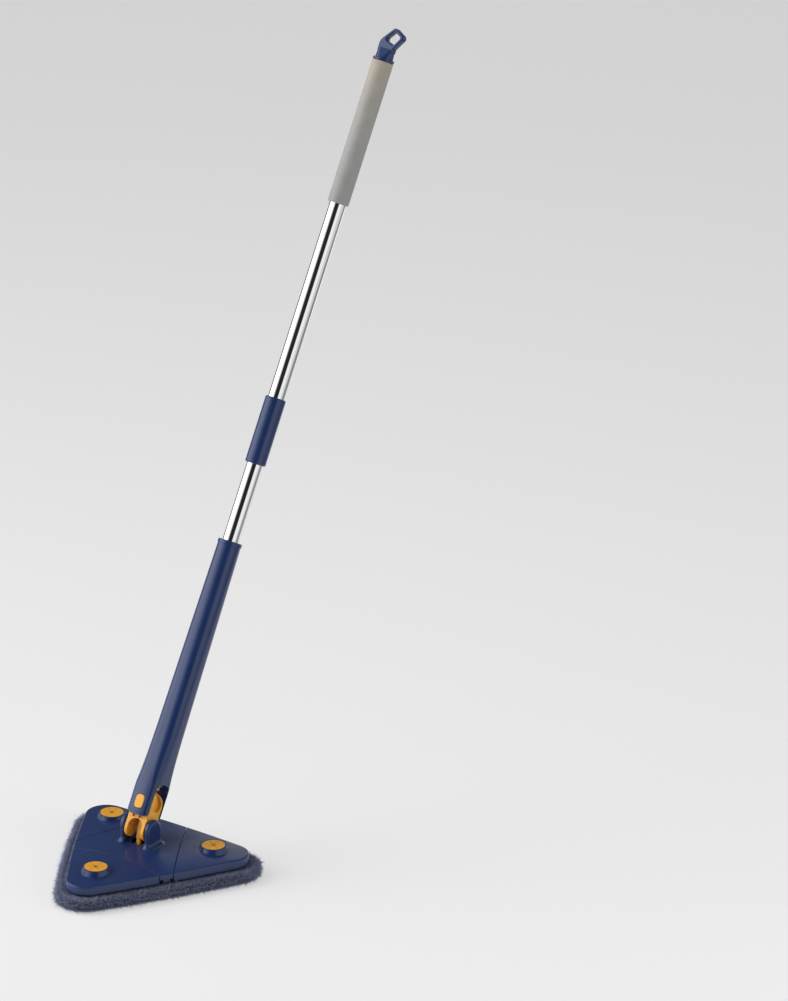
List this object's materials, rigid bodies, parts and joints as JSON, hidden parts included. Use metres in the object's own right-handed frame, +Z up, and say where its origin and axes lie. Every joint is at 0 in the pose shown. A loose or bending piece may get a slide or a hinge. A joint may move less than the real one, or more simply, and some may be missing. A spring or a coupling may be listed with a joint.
{
  "type": "twist mop",
  "caption": "Triangular flat mop with fold-down corner flaps and cloth grippers over a pile pad, a tilting and swinging foot, a sleeve that wrings by twisting and a telescopic pole with a hook.",
  "frame": {"origin": "on the floor under the middle of the head, on the underside of the pad", "axes": "+Z up from the floor; X along the tilt axis; the pole leans towards +Y and one corner of the head points to -Y"},
  "size_m": [0.27, 0.6653, 0.9357],
  "materials": {
    "navy_plastic": "glossy moulded navy plastic",
    "amber_plastic": "semi-gloss amber plastic",
    "grey_plastic": "plain moulded grey plastic",
    "pin_steel": "plain steel",
    "tube_chrome": "bright chrome plating",
    "grip_foam": "satin grey sleeve of foam rubber",
    "hook_tape": "black hook tape",
    "pad_pile": "short slate-blue microfibre pile"
  },
  "bodies": {
    "head": {"centre_plate": "navy_plastic", "centre_base": "grey_plastic", "base_screws": "pin_steel", "fold_pins": "pin_steel", "tilt_pins": "pin_steel", "hook_sheet_centre": "hook_tape", "pad_centre": "pad_pile"},
    "flap_a": {"flap_a": "navy_plastic", "flap_base_a": "grey_plastic", "gripper_a": "amber_plastic", "hook_sheet_a": "hook_tape", "pad_corner_a": "pad_pile"},
    "flap_b": {"flap_b": "navy_plastic", "flap_base_b": "grey_plastic", "gripper_b": "amber_plastic", "hook_sheet_b": "hook_tape", "pad_corner_b": "pad_pile"},
    "flap_c": {"flap_c": "navy_plastic", "flap_base_c": "grey_plastic", "gripper_c": "amber_plastic", "hook_sheet_c": "hook_tape", "pad_corner_c": "pad_pile"},
    "hub": {"pull_hub": "grey_plastic", "strap_pin_low": "pin_steel"},
    "knuckle": {"knuckle": "amber_plastic", "swing_bush": "grey_plastic", "button_spring": "pin_steel", "pull_strap": "amber_plastic"},
    "handle": {"sleeve": "navy_plastic", "swing_screw": "pin_steel", "thrust_bush": "grey_plastic", "retainer_ring": "grey_plastic", "guide_bush": "grey_plastic"},
    "button": {"button": "amber_plastic"},
    "traveller": {"traveller": "amber_plastic", "strap_pin_high": "pin_steel"},
    "drive": {"drive_rod": "grey_plastic"},
    "pole": {"tube_key": "grey_plastic", "lower_tube": "tube_chrome", "coupler_insert": "grey_plastic", "coupler": "navy_plastic", "upper_tube": "tube_chrome", "grip": "grip_foam", "hook_cap": "navy_plastic"}
  },
  "joints": [
    {"name": "tilt", "type": "hinge", "parent": "head", "child": "knuckle", "pos_m": [0, 0, 0.061], "axis": [1, 0, 0], "range_deg": [-59, 120], "deforming": ["pull_strap"]},
    {"name": "swing", "type": "hinge", "parent": "knuckle", "child": "handle", "pos_m": [0, 0.01366, 0.08429], "axis": [0, -0.8625, 0.506], "range_deg": [-60, 60], "deforming": ["pull_strap"]},
    {"name": "wring_twist", "type": "hinge", "parent": "handle", "child": "drive", "pos_m": [0, 0.04605, 0.13949], "axis": [0, 0.506, 0.8625], "range_deg": [0, 300]},
    {"name": "extend", "type": "slide", "parent": "drive", "child": "pole", "axis": [0, 0.506, 0.8625], "range_m": [0, 0.225]},
    {"name": "button_press", "type": "slide", "parent": "handle", "child": "button", "axis": [0, 0.8625, -0.506], "range_m": [0, 0.0015], "stiffness_N_per_m": 800, "deforming": ["button_spring"]},
    {"name": "nut_travel", "type": "slide", "parent": "handle", "child": "traveller", "axis": [0, 0.506, 0.8625], "range_m": [0, 0.0067], "deforming": ["pull_strap"]},
    {"name": "hub_lift", "type": "slide", "parent": "head", "child": "hub", "axis": [0, 0, 1], "range_m": [0, 0.0067], "deforming": ["pull_strap"]},
    {"name": "fold_a", "type": "hinge", "parent": "head", "child": "flap_a", "pos_m": [0, -0.0485, 0.023], "axis": [1, 0, 0], "range_deg": [0, 58], "deforming": ["pad_corner_a"]},
    {"name": "fold_b", "type": "hinge", "parent": "head", "child": "flap_b", "pos_m": [0.042, 0.02425, 0.023], "axis": [-0.5, 0.866, 0], "range_deg": [0, 58], "deforming": ["pad_corner_b"]},
    {"name": "fold_c", "type": "hinge", "parent": "head", "child": "flap_c", "pos_m": [-0.042, 0.02425, 0.023], "axis": [-0.5, -0.866, 0], "range_deg": [0, 58], "deforming": ["pad_corner_c"]}
  ],
  "couplings": [
    {"joint": "nut_travel", "follows": "wring_twist", "m_per_rad": 0.0012796},
    {"joint": "hub_lift", "follows": "wring_twist", "m_per_rad": 0.0012796},
    {"joint": "fold_a", "follows": "wring_twist", "ratio": 0.19333},
    {"joint": "fold_b", "follows": "wring_twist", "ratio": 0.19333},
    {"joint": "fold_c", "follows": "wring_twist", "ratio": 0.19333}
  ]
}
